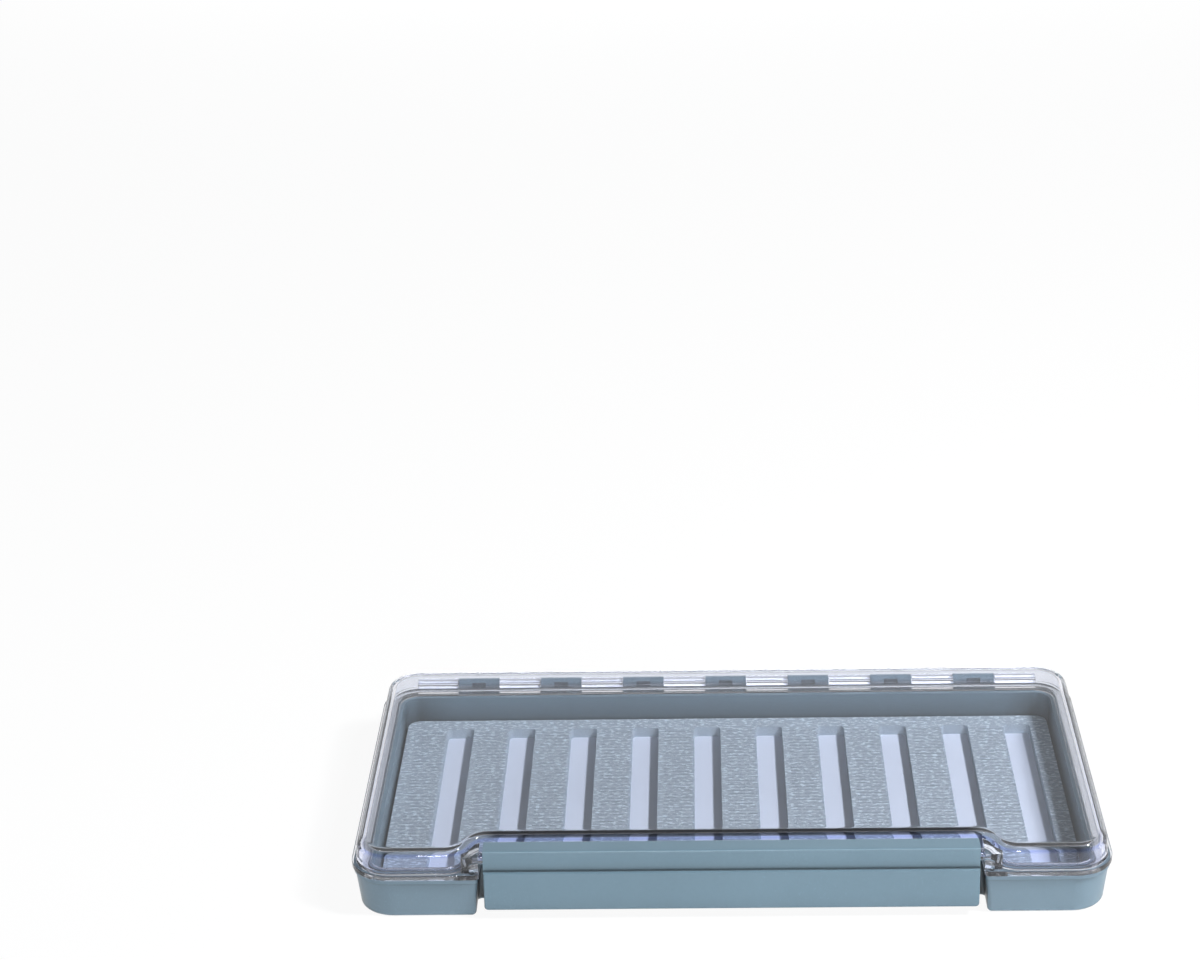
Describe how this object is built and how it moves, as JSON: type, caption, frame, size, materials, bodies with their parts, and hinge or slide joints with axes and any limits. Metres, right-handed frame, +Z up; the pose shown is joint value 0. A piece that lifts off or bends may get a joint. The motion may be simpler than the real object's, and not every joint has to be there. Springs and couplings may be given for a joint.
{
  "type": "fly box",
  "caption": "Slim waterproof fly box: moulded tray with slotted foam and rim gasket, clear lid on a long pinned hinge, full-width snap latch bar.",
  "frame": {"origin": "on the surface the closed box rests on, under the middle of its overall length and depth", "axes": "+Z up through the lid, +Y towards the hinge, +X to the right seen from the latch side"},
  "size_m": [0.2002, 0.112, 0.02],
  "materials": {
    "tray_plastic": "moulded grey-blue ABS, satin outside, fine moulding texture",
    "white_silicone": "soft white silicone cord, matt",
    "adhesive_film": "thin double-sided film",
    "backing_sheet": "smooth white sheet",
    "grey_foam": "closed-cell EVA foam, matt, fine pores",
    "steel_rod": "drawn stainless rod",
    "clear_plastic": "water-clear polycarbonate, polished",
    "latch_plastic": "moulded grey-blue ABS, satin"
  },
  "bodies": {
    "base": {"base_shell": "tray_plastic", "seal_gasket": "white_silicone", "foam_adhesive": "adhesive_film", "foam_backing": "backing_sheet", "foam_insert": "grey_foam", "hinge_pin": "steel_rod"},
    "lid": {"lid_shell": "clear_plastic"},
    "latch": {"latch_bar": "latch_plastic"}
  },
  "joints": [
    {"name": "lid_hinge", "type": "hinge", "parent": "base", "child": "lid", "pos_m": [0, 0.0538, 0.012], "axis": [-1, 0, 0], "range_deg": [0, 180]},
    {"name": "latch_hinge", "type": "hinge", "parent": "lid", "child": "latch", "pos_m": [0, -0.0514, 0.0165], "axis": [-1, 0, 0], "range_deg": [0, 110]}
  ]
}
